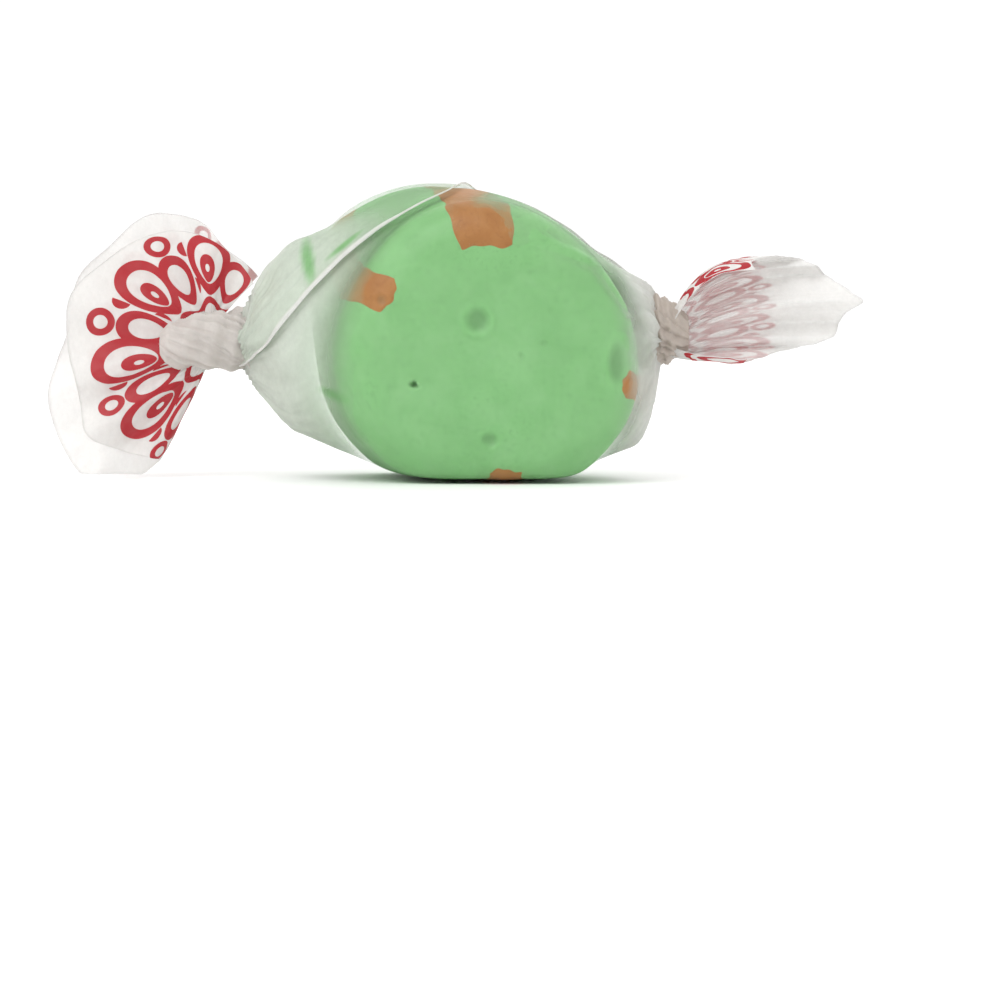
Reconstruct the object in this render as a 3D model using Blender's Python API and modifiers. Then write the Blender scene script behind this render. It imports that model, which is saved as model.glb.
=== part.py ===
"""A wrapped piece of salt water taffy: a squat green candy with four brown stripes, in a wax paper
sheet that is rolled round it with an overlap and twisted shut at both ends.

Frame: +X along the twist axis towards the short neck, -Y out of the cut face that shows, +Z up.
The origin is on the floor, under the middle of the flat foot that the candy rests on.
"""

import math

import bmesh
import bpy
import numpy as np
from mathutils import Vector
from mathutils.bvhtree import BVHTree

MM = 0.001

# The candy: a slice of a taffy rope, whose round cut faces look along Y.
CANDY_DEPTH = 21.6 * MM
CANDY_CENTRE_X = 0.5 * MM
CANDY_CENTRE_Z = 12.0 * MM
RIM_RADIUS = 3.0 * MM
FACE_DOME = 0.5 * MM
SIDE_BULGE = 0.5 * MM
# Radius of each cut face every 30 degrees, from +X towards +Z. The foot at 270 has sagged flat.
FACE_RADII = [r * MM for r in (11.7, 10.8, 10.7, 11.4, 12.1, 12.4, 13.5, 14.0, 13.4, 12.2, 13.2, 13.0)]
BACK_RADII = [r * MM for r in (11.7, 10.8, 10.7, 11.4, 13.2, 14.8, 13.5, 13.6, 13.2, 12.2, 13.2, 13.0)]
BACK_SHIFT = -3.5 * MM  # the back face stands this far to the left of the front one
BACK_RISE = 0.055  # and this share higher
FOOT_Z = 0.76 * MM  # the candy's flat foot, above the sheet under it
FOOT_BLEND = 0.9 * MM
AROUND, ALONG = 44, 26  # steps of the candy's mesh round the rope and along its profile

# The brown stripes run from one cut face over the side to the other, inlaid flush in the green.
# Each has its angle in degrees on the front face, its turn from there to the back one, its width and
# how far it reaches onto the cut faces.
STRIPES = [
    (98, 0, 5.0 * MM, 3.6 * MM),
    (157, -19, 3.4 * MM, 1.9 * MM),
    (272, 0, 3.6 * MM, 1.6 * MM),
    (341, 0, 3.2 * MM, 1.8 * MM),
]
STRIPE_DEPTH = 1.3 * MM
INLAY_GAP = 0.3 * MM
STRIPE_STEPS = (3, 20)  # across and along

# The sheet of wax paper.
PAPER = 0.26 * MM
PAPER_GAP = 0.32 * MM  # free space between paper and candy, and between two layers
AXIS_Z = 11.8 * MM  # height of the twist axis
OVERLAP_START = 52.0  # degrees above the front, where the sheet's outer edge lies
OVERLAP = 68.0
OVERLAP_RAMP = 45.0
COLUMNS = 44  # steps round the sheet
# Stations of the paper round the candy, between the two necks.
BELLY_X = [
    x * MM
    for x in (
        -20.1, -19.5, -18.5, -17.4, -16.3, -15.3, -14.2, -12.8, -10.5, -7.5,
        -4, 0, 4, 7, 9.4, 11, 12.2, 13, 13.8,
    )
]
# The sheet lies flat under the candy, and stands on four points near that flat's corners.
FOOT_LIFT = 0.22 * MM  # the flat's height over the floor
STANDS_X = (-10.5 * MM, 7 * MM)
STANDS_Y = (-5.5 * MM, 5.5 * MM)
TAIL_LIFT = 0.6 * MM  # the lowest that a tail hangs
TAIL_STEPS = 7
PLEATS = 6
PLEAT_DEPTH = 0.1  # as a share of the neck's radius
SMOOTHINGS = 1


class End:
    """One twisted end: the belly's shoulders beside it, its neck, and the ribs of its tail.

    shoulders is where the slack paper stands out: x, and its radius above and below the axis. neck is
    its stations (x, y, z, radius) away from the candy. A rib is a fold line of the fanned paper, from
    fan (x, z): the angle above +X in the front view, its length, and how far behind the twist axis its
    free tip lies. The ribs are evenly spaced along the free edge, which runs round the axis by turn,
    both in degrees above the front.
    """

    def __init__(self, shoulders, neck, twist, root, fan, turn, spread, ribs):
        self.shoulders = [[v * MM for v in shoulder] for shoulder in shoulders]
        self.neck = [[v * MM for v in station] for station in neck]
        self.neck_from, self.radius = self.neck[1][0], self.neck[1][3]
        self.sheet_end = self.neck_from + math.copysign(0.7 * MM, self.neck_from)
        self.twist = math.radians(twist)
        self.root_x, self.root_r = (v * MM for v in root)
        self.fan_x, self.fan_z = (v * MM for v in fan)
        self.turn = [math.radians(v) for v in turn]
        self.spread = spread
        self.ribs = [(math.radians(a), length * MM, depth * MM) for a, length, depth in ribs]


LEFT = End(
    shoulders=[(-19.5, 5.2, 4.2), (-17.4, 7.8, 7.5)],
    neck=[(-19.0, 0, 11.9, 1.6), (-20.4, 0, 12.0, 2.85), (-21.6, 0, 12.0, 2.6), (-23.2, -0.3, 11.9, 2.55),
          (-25.2, -1.0, 11.7, 2.25), (-27.2, -1.4, 11.5, 1.9), (-28.5, -1.4, 11.5, 1.0)],
    twist=150.0,
    root=(-24.2, 1.1),
    fan=(-25.0, 11.0),
    turn=(110.0, 440.0),
    spread=1.15,
    ribs=[
        (55, 7.7, 4.2), (79, 8.9, 3.4), (91, 10.8, 4.6), (103, 12.0, 3.6), (115, 12.8, 4.8),
        (133, 12.3, 3.4), (151, 12.9, 4.6), (171, 12.2, 3.4), (184, 13.2, 4.4), (196, 14.4, 3.2),
        (212, 15.2, 4.0), (228, 15.3, 2.6), (238, 13.4, 2.6), (247, 10.4, 1.0),
        (242, 10.4, -0.2), (229, 11.4, 0.7), (216, 12.4, -0.5), (204, 11.7, 0.5), (193, 11.3, -0.6),
        (175, 11.9, 0.6), (157, 12.3, -0.5), (140, 11.5, 0.7), (122, 11.0, -0.4), (105, 10.6, 0.8),
        (88, 9.6, 0.0), (70, 8.2, 0.9), (53, 7.1, 0.3),
    ],
)
RIGHT = End(
    shoulders=[(12.9, 4.2, 7.8), (13.8, 3.3, 4.6)],
    neck=[(12.7, 0, 12.0, 1.6), (13.5, 0, 12.5, 3.0), (14.5, 0, 12.5, 2.9), (15.8, 0.2, 12.4, 2.4),
          (16.6, 0.4, 12.4, 1.5)],
    twist=-60.0,
    root=(15.1, 1.6),
    fan=(14.6, 12.3),
    turn=(20.0, 350.0),
    spread=3.0,
    ribs=[
        (36, 9.4, -1.9), (40, 9.6, -0.9), (39, 10.4, 0.2), (35.5, 11.6, 1.4), (32, 12.6, 3.0),
        (28, 13.8, 4.2), (24, 14.6, 3.4), (20, 15.1, 4.6), (16, 16.0, 3.4), (12.5, 16.6, 2.2),
        (9.4, 17.4, 1.6), (7, 16.0, 2.8), (4, 15.4, 4.2), (-1, 14.6, 3.0), (-5, 12.0, 3.8),
        (-9, 9.8, 2.6), (-15, 8.2, 1.6), (-18, 7.5, 0.2), (-19, 7.1, -1.0), (-16, 7.2, -1.9),
    ],
)

scene_collection = bpy.context.scene.collection


def clear_scene():
    for obj in list(bpy.data.objects):
        bpy.data.objects.remove(obj)
    for collection in list(bpy.data.collections):
        bpy.data.collections.remove(collection)


def new_collection(name):
    collection = bpy.data.collections.new(name)
    scene_collection.children.link(collection)
    return collection


def new_material(name, colour, roughness):
    material = bpy.data.materials.new(name)
    material.use_nodes = True
    shader = material.node_tree.nodes["Principled BSDF"]
    shader.inputs["Base Color"].default_value = (*colour, 1.0)
    shader.inputs["Roughness"].default_value = roughness
    shader.inputs["Metallic"].default_value = 0.0
    material.diffuse_color = (*colour, 1.0)
    return material


def new_object(name, build, collection, material=None):
    """An object whose mesh is what build(bm) makes."""
    mesh = bpy.data.meshes.new(name)
    bm = bmesh.new()
    build(bm)
    bmesh.ops.recalc_face_normals(bm, faces=bm.faces)
    if bm.calc_volume(signed=True) < 0:
        bmesh.ops.reverse_faces(bm, faces=bm.faces)
    bm.to_mesh(mesh)
    bm.free()
    mesh.shade_smooth()
    obj = bpy.data.objects.new(name, mesh)
    collection.objects.link(obj)
    if material:
        mesh.materials.append(material)
    return obj


def smooth(t):
    t = np.clip(t, 0.0, 1.0)
    return t * t * (3 - 2 * t)


def through(values, place):
    """The smooth curve through evenly spaced values, read at each place from 0 to 1."""
    values = np.asarray(values, float)
    last = len(values) - 1
    position = np.clip(np.asarray(place, float), 0, 1) * last
    k = np.minimum(position.astype(int), last - 1)
    t = (position - k)[..., None] if values.ndim > 1 else position - k
    p0, p1 = values[np.maximum(k - 1, 0)], values[k]
    p2, p3 = values[k + 1], values[np.minimum(k + 2, last)]
    return 0.5 * (
        2 * p1 + (p2 - p0) * t + (2 * p0 - 5 * p1 + 4 * p2 - p3) * t**2 + (3 * p1 - p0 - 3 * p2 + p3) * t**3
    )


# The candy


def candy_radius(angle, place=0.0):
    """Radius of the candy in the direction of this angle, in radians, at this place on its profile."""
    turn = (angle / (2 * math.pi)) % 1.0
    back = float(smooth((place - 0.33) / 0.34))
    radii = [front + (rear - front) * back for front, rear in zip(FACE_RADII, BACK_RADII)]
    ring = radii[-2:] + radii + radii[:3]
    return float(through(ring, (turn * 12 + 2) / (len(ring) - 1)))


def rim_profile(place, radius, half_depth, rim):
    """A point of the rounded rectangle that is turned into the candy, as (radius, depth).

    place runs by length from 0, the middle of the front face, to 1, the middle of the back one.
    """
    flat, arc, side = radius - rim, rim * math.pi / 2, 2 * (half_depth - rim)
    run = min(place, 1 - place) * (2 * flat + 2 * arc + side)
    back = 1.0 if place > 0.5 else -1.0
    if run < flat:
        return run, back * (half_depth - FACE_DOME * (run / radius) ** 2)
    if run < flat + arc:
        turn = (run - flat) / rim
        r = flat + rim * math.sin(turn)
        dome = FACE_DOME * (min(r, radius) / radius) ** 2
        return r, back * (half_depth - rim + rim * math.cos(turn) - dome * math.cos(turn))
    depth = half_depth - rim - (run - flat - arc)
    return radius + SIDE_BULGE * (1 - (depth / (half_depth - rim)) ** 2), back * depth


def press_flat(z, foot):
    """Flat at the foot, rounding into the free shape above it."""
    rise = (z - foot + FOOT_BLEND) / (2 * FOOT_BLEND)
    if rise <= 0:
        return foot
    return z if rise >= 1 else foot + FOOT_BLEND * rise**2


def candy_point(angle, place, inset=0.0):
    """A point of the candy's surface, or of the surface that lies inset deep in it."""
    radius, y = rim_profile(
        place, candy_radius(angle, place) - inset, CANDY_DEPTH / 2 - inset, max(RIM_RADIUS - inset, 0.4 * MM)
    )
    back = (y + CANDY_DEPTH / 2) / CANDY_DEPTH
    x = CANDY_CENTRE_X + radius * math.cos(angle) + BACK_SHIFT * back
    z = (CANDY_CENTRE_Z + radius * math.sin(angle)) * (1 + BACK_RISE * back)
    return Vector((x, y, press_flat(z, FOOT_Z + inset)))


def candy_body(bm, inset=0.0):
    """A sphere whose vertices are moved out to the candy's surface, or to one inset deep in it."""
    bmesh.ops.create_uvsphere(bm, u_segments=AROUND, v_segments=ALONG, radius=1.0)
    for vertex in bm.verts:
        x, z, y = vertex.co
        place = math.acos(max(-1.0, min(1.0, -y))) / math.pi
        vertex.co = candy_point(math.atan2(z, x), place, inset)


def strap_angle(degrees, sweep, across, along, place):
    """Angle of a point of a strap this far across and along it, so that its width hardly narrows inwards."""
    middle = math.radians(degrees + sweep * float(smooth((along + 0.3) / 0.6)))
    full = candy_radius(middle, place)
    here = max(rim_profile(place, full, CANDY_DEPTH / 2, RIM_RADIUS)[0], 0.5 * full)
    return middle + across / full * (full / here) ** 0.8


def stripe_body(degrees, sweep, width, reach, grow):
    """Builder for a strap of taffy at this angle, grown all round by grow, or its groove's cutter."""
    profile = 2 * (13 * MM) + CANDY_DEPTH
    across, along = STRIPE_STEPS

    def build(bm):
        bmesh.ops.create_grid(bm, x_segments=across, y_segments=along, size=0.5)
        top = bm.faces[:]
        walls = bmesh.ops.extrude_face_region(bm, geom=top)
        for vertex in (v for v in walls["geom"] if isinstance(v, bmesh.types.BMVert)):
            vertex.co.z = -1.0
        for vertex in bm.verts:
            a, b, c = vertex.co
            start = (13 * MM - reach - grow - 0.4 * RIM_RADIUS) / profile
            place = start + (b + 0.5) * (1 - 2 * start)
            inset = (STRIPE_DEPTH + grow) if c < -0.5 else (-grow * 3 if grow else 0.0)
            half = (width / 2 + grow) * (1 + 0.06 * math.sin(9 * b + degrees))
            vertex.co = candy_point(strap_angle(degrees, sweep, 2 * a * half, b, place), place, inset)

    return build


def make_candy(parts, cutters):
    green = new_material("green_taffy", (0.27, 0.57, 0.25), 0.45)
    brown = new_material("brown_taffy", (0.42, 0.13, 0.035), 0.45)
    candy = new_object("green_taffy", candy_body, parts, green)
    for number, strap in enumerate(STRIPES, 1):
        groove = new_object(f"groove_{number}", stripe_body(*strap, INLAY_GAP), cutters)
        cut = candy.modifiers.new(f"groove_{number}", "BOOLEAN")
        cut.operation, cut.solver, cut.object = "DIFFERENCE", "EXACT", groove
        new_object(f"brown_stripe_{number}", stripe_body(*strap, 0.0), parts, brown)
    return candy


# The sheet of paper, its necks and its tails


def turned(angle_from_front, radius, x, z=AXIS_Z, y=0.0):
    """The points at this radius from the twist axis, each angle taken upwards from the front."""
    across, up = radius * np.cos(angle_from_front), radius * np.sin(angle_from_front)
    return np.stack([x + 0 * radius, y - across, z + up], axis=-1)


def candy_reach(tree, x, angle, around=0.0, along=0.0):
    """How far the candy reaches from the twist axis this near to a station, or 0 where it doesn't."""
    far, most = 40 * MM, 0.0
    for turn in (-around, 0, around) if around else (0,):
        out = Vector((0, -math.cos(angle + turn), math.sin(angle + turn)))
        for shift in (-along, 0, along) if along else (0,):
            hit = tree.ray_cast(Vector((x + shift, 0, AXIS_Z)) + out * far, -out, far)
            most = max(most, far - hit[3] if hit[0] else 0.0)
    return most


def taut_line(xs, rs):
    """The line that a thread stretched over these points would take."""
    kept = []
    for point in zip(xs, rs):
        while len(kept) > 1:
            (x0, r0), (x1, r1) = kept[-2], kept[-1]
            if (r1 - r0) * (point[0] - x0) > (point[1] - r0) * (x1 - x0):
                break
            kept.pop()
        kept.append(point)
    return np.interp(xs, *zip(*kept))


def slack(above_axis, below_axis, angle):
    """How far the slack paper of a shoulder stands off the axis in this direction."""
    low = (1 - math.sin(angle)) / 2
    return above_axis + (below_axis - above_axis) * low**2


def belly_line(tree, angle, layer):
    """(x, radius) of the paper at this angle, station by station; layer is how far over it lies."""
    xs = np.array([LEFT.sheet_end, *BELLY_X, RIGHT.sheet_end])
    step = math.radians(360 + OVERLAP) / COLUMNS
    bare = np.array(
        [candy_reach(tree, x, angle, step / 2, apart / 2) for x, apart in zip(xs, np.gradient(xs))]
    )
    bare[0], bare[-1] = 0.75 * LEFT.radius, 0.75 * RIGHT.radius
    for x, above_axis, below_axis in (*LEFT.shoulders, *RIGHT.shoulders):
        nearest = np.argmin(abs(xs - x))
        bare[nearest] = max(bare[nearest], slack(above_axis, below_axis, angle))
    line = taut_line(xs, bare)
    for _ in range(SMOOTHINGS):
        line[1:-1] = (line[:-2] + 2 * line[1:-1] + line[2:]) / 4
    line = np.maximum(line, bare)
    slope = np.stack([np.gradient(xs), np.gradient(line)])
    slope /= np.hypot(*slope)
    slope[:, [0, -1]] = [[1, 1], [0, 0]]
    return xs - slope[1] * layer, line + slope[0] * layer


def above(points, height):
    points[..., 2] = np.maximum(points[..., 2], height)
    return points


def stood(rows):
    """The rows round the candy, flat under it, with the points nearest to each stand on the floor."""
    rows = above(rows, FOOT_LIFT + PAPER / 2)
    for x in STANDS_X:
        for y in STANDS_Y:
            away = np.linalg.norm(rows - (x, y, 0.0), axis=-1)
            rows[away == away.min(), 2] = PAPER / 2
    return rows


def belly_rows(tree):
    """Rows of points of the paper round the candy, one from each station, outer edge first."""
    v = np.linspace(0, 1, COLUMNS + 1)
    turn = 360.0 + OVERLAP
    angles = np.radians(OVERLAP_START + turn * v)
    layers = (PAPER + PAPER_GAP) * smooth((OVERLAP + OVERLAP_RAMP - turn * v) / OVERLAP_RAMP)
    lines = np.array([belly_line(tree, angle, layer) for angle, layer in zip(angles, layers)])
    x, radius = lines[:, 0].T, lines[:, 1].T
    near = sum(np.clip(1 - abs(x - end.neck_from) / (7 * MM), 0, 1) ** 2 for end in (LEFT, RIGHT))
    radius = radius * (1 + PLEAT_DEPTH * near * np.cos(2 * PLEATS * angles))
    return stood(turned(angles, radius, x))


def tail_rows(end):
    """Rows of points of the fanned paper, from the ring in its neck out to the free edge."""
    v = np.linspace(0, 1, COLUMNS + 1)
    ring = turned(end.turn[0] + (end.turn[1] - end.turn[0]) * v, end.root_r + 0 * v, end.root_x)
    rib = through(end.ribs, v)
    angle, length, depth = rib[:, 0], rib[:, 1], rib[:, 2]
    x = end.fan_x + length * np.cos(angle)
    z = np.maximum(end.fan_z + length * np.sin(angle), TAIL_LIFT + PAPER / 2)
    tip = np.stack([x, depth, z], axis=-1)
    rows = [ring]
    for u in np.linspace(0, 1, TAIL_STEPS + 1)[1:]:
        quick = 1 - (1 - u) ** end.spread
        rows.append(ring + (tip - ring) * np.array([u, quick, quick]))
    return above(np.array(rows), TAIL_LIFT + PAPER / 2)


def lofted(rows):
    """Builder for the open surface through rows of points."""

    def build(bm):
        grid = [[bm.verts.new(point) for point in row] for row in rows]
        for one, two in zip(grid, grid[1:]):
            for k in range(len(one) - 1):
                bm.faces.new((one[k], one[k + 1], two[k + 1], two[k]))
        bmesh.ops.triangulate(bm, faces=bm.faces)

    return build


def twisted_neck(end, sides=18):
    """Builder for the rope of gathered paper: lobed rings that turn from station to station."""

    def build(bm):
        rings = []
        for number, (x, y, z, radius) in enumerate(end.neck):
            turn = end.twist * number / (len(end.neck) - 1)
            around = np.arange(sides) * 2 * math.pi / sides
            lobed = radius * (1 + PLEAT_DEPTH * np.cos(PLEATS * around))
            rings.append([bm.verts.new(point) for point in turned(around + turn, lobed, x, z, y)])
        for one, two in zip(rings, rings[1:]):
            for k in range(sides):
                bm.faces.new((one[k - 1], one[k], two[k], two[k - 1]))
        bm.faces.new(rings[0])
        bm.faces.new(rings[-1])

    return build


def paper_sheet(name, rows, collection, material):
    sheet = new_object(name, lofted(rows), collection, material)
    solid = sheet.modifiers.new("thickness", "SOLIDIFY")
    solid.thickness, solid.offset = PAPER, 0.0
    return sheet


def make_wrapper(tree, parts, joined):
    paper = new_material("wax_paper", (0.86, 0.84, 0.80), 0.4)
    wrapper = paper_sheet("wax_paper", belly_rows(tree), parts, paper)
    for name, end in (("left", LEFT), ("right", RIGHT)):
        new_object(f"{name}_neck", twisted_neck(end), joined, paper)
        paper_sheet(f"{name}_tail", tail_rows(end), joined, paper)
    union = wrapper.modifiers.new("ends", "BOOLEAN")
    union.operation, union.solver = "UNION", "EXACT"
    union.operand_type, union.collection = "COLLECTION", joined
    union.use_self = True
    return wrapper


def space_for_candy():
    """A search tree of the surface that the paper's middle may touch, all round the candy."""
    bm = bmesh.new()
    candy_body(bm, -(PAPER_GAP + PAPER / 2 + 0.07 * MM))
    tree = BVHTree.FromBMesh(bm)
    bm.free()
    return tree


def main():
    clear_scene()
    parts = new_collection("wrapped_taffy")
    helpers = new_collection("cutters")
    joined = new_collection("paper_ends")
    make_candy(parts, helpers)
    make_wrapper(space_for_candy(), parts, joined)
    for helper in [*helpers.objects, *joined.objects]:
        helper.hide_render = True
        helper.display_type = "WIRE"


main()
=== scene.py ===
"""The looks of the wrapped taffy: streaky green and brown candy under translucent wax paper.

The paper's two walls are real surfaces 0.05 mm apart. Where the sheet touches the candy it is nearly
clear, and the further it stands off the whiter it gets. Its opacity, and the painted green of the candy
seen through it, are worked out mostly from that gap, with a few veils, patches and folds put in.
"""

import math

import bmesh
import bpy
import numpy as np
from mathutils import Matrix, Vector
from mathutils.bvhtree import BVHTree


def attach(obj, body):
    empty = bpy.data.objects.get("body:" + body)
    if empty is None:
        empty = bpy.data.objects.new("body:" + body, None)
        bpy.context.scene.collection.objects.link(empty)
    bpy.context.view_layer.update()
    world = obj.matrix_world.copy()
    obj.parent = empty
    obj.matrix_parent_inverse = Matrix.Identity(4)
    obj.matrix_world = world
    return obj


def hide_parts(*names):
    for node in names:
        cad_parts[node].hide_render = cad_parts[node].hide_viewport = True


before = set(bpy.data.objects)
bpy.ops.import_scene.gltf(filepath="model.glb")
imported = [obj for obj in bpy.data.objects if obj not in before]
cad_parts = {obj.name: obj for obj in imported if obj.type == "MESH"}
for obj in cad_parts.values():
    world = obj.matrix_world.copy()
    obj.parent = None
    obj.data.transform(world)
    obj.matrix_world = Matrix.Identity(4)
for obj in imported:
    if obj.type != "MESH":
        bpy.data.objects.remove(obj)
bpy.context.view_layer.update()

MM = 0.001

# The candy. Its radii are taken every 30 degrees, from the right and up over the top.
CANDY_DEPTH = 21.6 * MM
CANDY_CENTRE_X = 0.5 * MM
CANDY_CENTRE_Z = 12.0 * MM
RIM_RADIUS = 3.0 * MM
FACE_DOME = 0.5 * MM
SIDE_BULGE = 0.5 * MM
FACE_RADII = [r * MM for r in (11.7, 10.8, 10.7, 11.4, 12.1, 12.4, 13.5, 14.0, 13.4, 12.2, 13.2, 13.0)]
BACK_RADII = [r * MM for r in (11.7, 10.8, 10.7, 11.4, 13.2, 14.8, 13.5, 13.6, 13.2, 12.2, 13.2, 13.0)]
USUAL_RADIUS = 13 * MM
BACK_SHIFT = -3.5 * MM
BACK_RISE = 0.055
FOOT_Z = 0.3 * MM
FOOT_BLEND = 0.9 * MM
AROUND, ALONG = 260, 200

# Each stripe's angle in degrees, its turn from there to the back face, its width and its reach onto the
# cut faces in millimetres.
STRIPES = [
    (98.0, 0.0, 5.0, 3.3),
    (158.5, -19.0, 3.4, 1.7),
    (273.0, 0.0, 3.0, 0.1),
    (341.0, 0.0, 2.5, 0.2),
]
STRIPE_DEPTH = 1.3 * MM
UNEVEN = 0.1 * MM  # how far the candy's surface wanders in and out
UNEVEN_SEED = 3
# The taffy's colours, from deep to pale.
GREENS = [(0.155, 0.37, 0.135), (0.178, 0.405, 0.156), (0.212, 0.445, 0.188)]
BROWNS = [(0.26, 0.10, 0.022), (0.32, 0.138, 0.036), (0.38, 0.18, 0.06)]

# Marks on the cut faces, mirrored on the back one: x, z, half width, half height, depth and raised rim,
# in millimetres.
MARKS = [
    (-1.4, 13.6, 1.05, 1.1, 0.3, 0.12),
    (10.2, 10.0, 0.85, 1.9, 0.3, 0.08),
    (-6.7, 8.3, 0.3, 0.3, 0.8, 0.0),
    (-0.4, 3.7, 0.75, 0.65, 0.22, 0.05),
    (2.2, 10.7, 0.34, 0.34, 0.12, 0.0),
    (4.0, 11.7, 0.36, 0.32, 0.12, 0.0),
    (-9.4, 15.3, 0.5, 0.5, 0.15, 0.03),
]
# Soft ridges pressed into them by the folded paper: x, z, x, z, half width, height.
RIDGES = [
    (3.4, 20.4, 9.0, 18.2, 0.45, 0.22),
    (9.0, 18.2, 11.6, 13.6, 0.4, 0.2),
    (-4.5, 18.4, 6.0, 18.9, 0.9, 0.12),
    (-11.0, 12.0, -9.0, 4.0, 1.2, 0.12),
]

# The sheet of wax paper.
PAPER = 0.05 * MM
CLEAR = 0.06 * MM  # space between candy and touching paper
LAYER = 0.3 * MM  # and between two layers
AXIS_Z = 11.8 * MM
# Where the sheet's free edge shows in front of the candy: x and z in millimetres. Right of the last
# point it has climbed over the top, and runs behind it.
EDGE = [
    (-21.2, 10.0), (-20.0, 10.6), (-18.8, 11.2), (-16.8, 13.8), (-14.7, 16.2), (-12.5, 18.4), (-9.8, 20.5),
    (-6.6, 22.5), (-3.4, 24.1), (-1.0, 26.0),
]
BEHIND = 28.0  # degrees behind the top, right of there
HEM = 0.95  # width of the free edge's white fold, in millimetres
OVERLAP, OVERLAP_RAMP = 68.0, 45.0
TABLE_STEPS = 360  # directions round the twist axis in which the paper's reach is worked out
CLEAREST, WHITEST = 0.04, 0.95  # least and most opacity of the belly's paper
GATHERED_OPACITY = 0.97
# The candy's green, painted into the paper where the candy's light shows through it.
CANDY_GREEN_PAINTED = (0.22, 0.55, 0.18)
PRINT_RED = (0.46, 0.014, 0.024)
PRINT_PERIOD = 10.0  # how far apart the print's motifs are round the sheet, in millimetres
COLUMNS = 380
BELLY_STEPS = 120
TAIL_STEPS = 40
SHEET_WIDTH = 90 * MM  # once round, along the sheet's rolled side
# Places left of the candy where the paper has its deepest painted green, the candy's light seen through
# it: x, z, half width, half height, tilt in degrees.
PAINTED_GREEN_PATCHES = [
    (-15.7, 18.6, 0.65, 2.4, 12.0),
    (-13.2, 7.3, 1.9, 0.55, -24.0),
    (-12.5, 20.0, 2.3, 0.3, 40.0),
]
# Where the slack paper veils the front: x, z, x, z, half width and opacity, along a line.
VEILS = [
    (-0.6, 23.4, 2.4, 20.9, 1.3, 0.34),
    (2.4, 21.2, 9.2, 18.6, 1.1, 0.3),
    (5.0, 19.6, 8.3, 17.7, 0.28, 0.4),
    (8.3, 17.7, 11.2, 13.9, 0.28, 0.5),
    (11.6, 12.5, 12.2, 8.0, 0.8, 0.35),
]

# The studio: the camera's distance, the width it sees at the candy, the world's strength, and each
# lamp's name, place, size in metres and power in watts.
SEEN_FROM, FRAME_WIDTH = 300 * MM, 86.1 * MM
WORLD_STRENGTH = 1.06
LAMPS = [("key", (-0.35, -0.45, 0.6), 0.5, 2.6), ("rim", (0.3, 0.45, 0.5), 0.5, 1.2)]


class End:
    """One twisted end: the belly's shoulders beside it, its neck, and the ribs of its tail.

    shoulders is where the slack paper stands out: x, and its radius above and below the axis. neck is
    its stations (x, y, z, radius) away from the candy. A rib is a fold line of the fanned paper, from
    fan (x, z): the angle above +X in the front view, its length, and how far behind the axis its tip
    lies. printed stretches the print along the ribs.
    """

    def __init__(self, shoulders, neck, twist, root, fan, turn, spread, printed, ribs):
        self.printed = printed
        self.shoulders = [[v * MM for v in shoulder] for shoulder in shoulders]
        self.neck = np.array(neck) * MM
        self.neck_from, self.radius = self.neck[1][0], self.neck[1][3]
        self.sheet_end = self.neck_from + math.copysign(0.7 * MM, self.neck_from)
        self.twist = math.radians(twist)
        self.root_x, self.root_r = (v * MM for v in root)
        self.fan_x, self.fan_z = (v * MM for v in fan)
        self.turn = [math.radians(v) for v in turn]
        self.spread = spread
        self.ribs = [(math.radians(a), length * MM, depth * MM) for a, length, depth in ribs]


LEFT = End(
    shoulders=[(-19.5, 5.2, 4.2), (-17.4, 7.8, 7.5)],
    neck=[(-19.0, 0, 11.9, 2.2), (-20.4, 0, 12.0, 2.85), (-21.6, 0, 12.0, 2.65), (-23.0, -0.3, 11.85, 2.5),
          (-24.6, -0.8, 11.8, 2.3), (-26.4, -1.2, 11.6, 2.05), (-27.8, -1.4, 11.5, 1.75),
          (-28.6, -1.4, 11.5, 0.9)],
    twist=170.0,
    root=(-24.2, 1.1),
    fan=(-25.0, 11.0),
    turn=(110.0, 440.0),
    spread=1.15,
    printed=1.12,
    ribs=[
        (55, 7.7, 4.2), (79, 8.9, 3.4), (91, 10.8, 4.6), (103, 12.0, 3.6), (115, 12.8, 4.8),
        (133, 12.3, 3.4), (151, 12.9, 4.6), (171, 12.2, 3.4), (184, 13.2, 4.4), (196, 14.4, 3.2),
        (212, 15.2, 4.0), (228, 15.3, 2.6), (238, 13.4, 2.6), (247, 10.4, 1.0),
        (242, 10.4, -0.2), (229, 11.4, 0.7), (216, 12.4, -0.5), (204, 11.7, 0.5), (193, 11.3, -0.6),
        (175, 11.9, 0.6), (157, 12.3, -0.5), (140, 11.5, 0.7), (122, 11.0, -0.4), (105, 10.6, 0.8),
        (88, 9.6, 0.0), (70, 8.2, 0.9), (53, 7.1, 0.3),
    ],
)
RIGHT = End(
    shoulders=[(12.4, 4.6, 8.7), (13.2, 3.6, 6.2)],
    neck=[(12.0, 0, 12.3, 2.2), (12.9, 0, 12.6, 3.15), (14.0, 0, 12.6, 3.05), (15.4, 0.2, 12.5, 2.5),
          (16.6, 0.4, 12.4, 1.5)],
    twist=-70.0,
    root=(14.7, 1.6),
    fan=(14.6, 12.3),
    turn=(20.0, 350.0),
    spread=3.0,
    printed=1.2,
    ribs=[
        (36, 9.4, -1.9), (40, 9.6, -0.9), (39, 10.4, 0.2), (35.5, 11.6, 1.4), (32, 12.6, 3.0),
        (28, 13.8, 4.2), (24, 14.6, 3.4), (20, 15.1, 4.6), (16, 16.0, 3.4), (12.5, 16.6, 2.2),
        (9.4, 17.4, 1.6), (7, 16.0, 2.8), (4, 15.4, 4.2), (-1, 14.6, 3.0), (-5, 12.0, 3.8),
        (-9, 9.8, 2.6), (-15, 8.2, 1.6), (-18, 7.5, 0.2), (-19, 7.1, -1.0), (-16, 7.2, -1.9),
    ],
)


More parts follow.
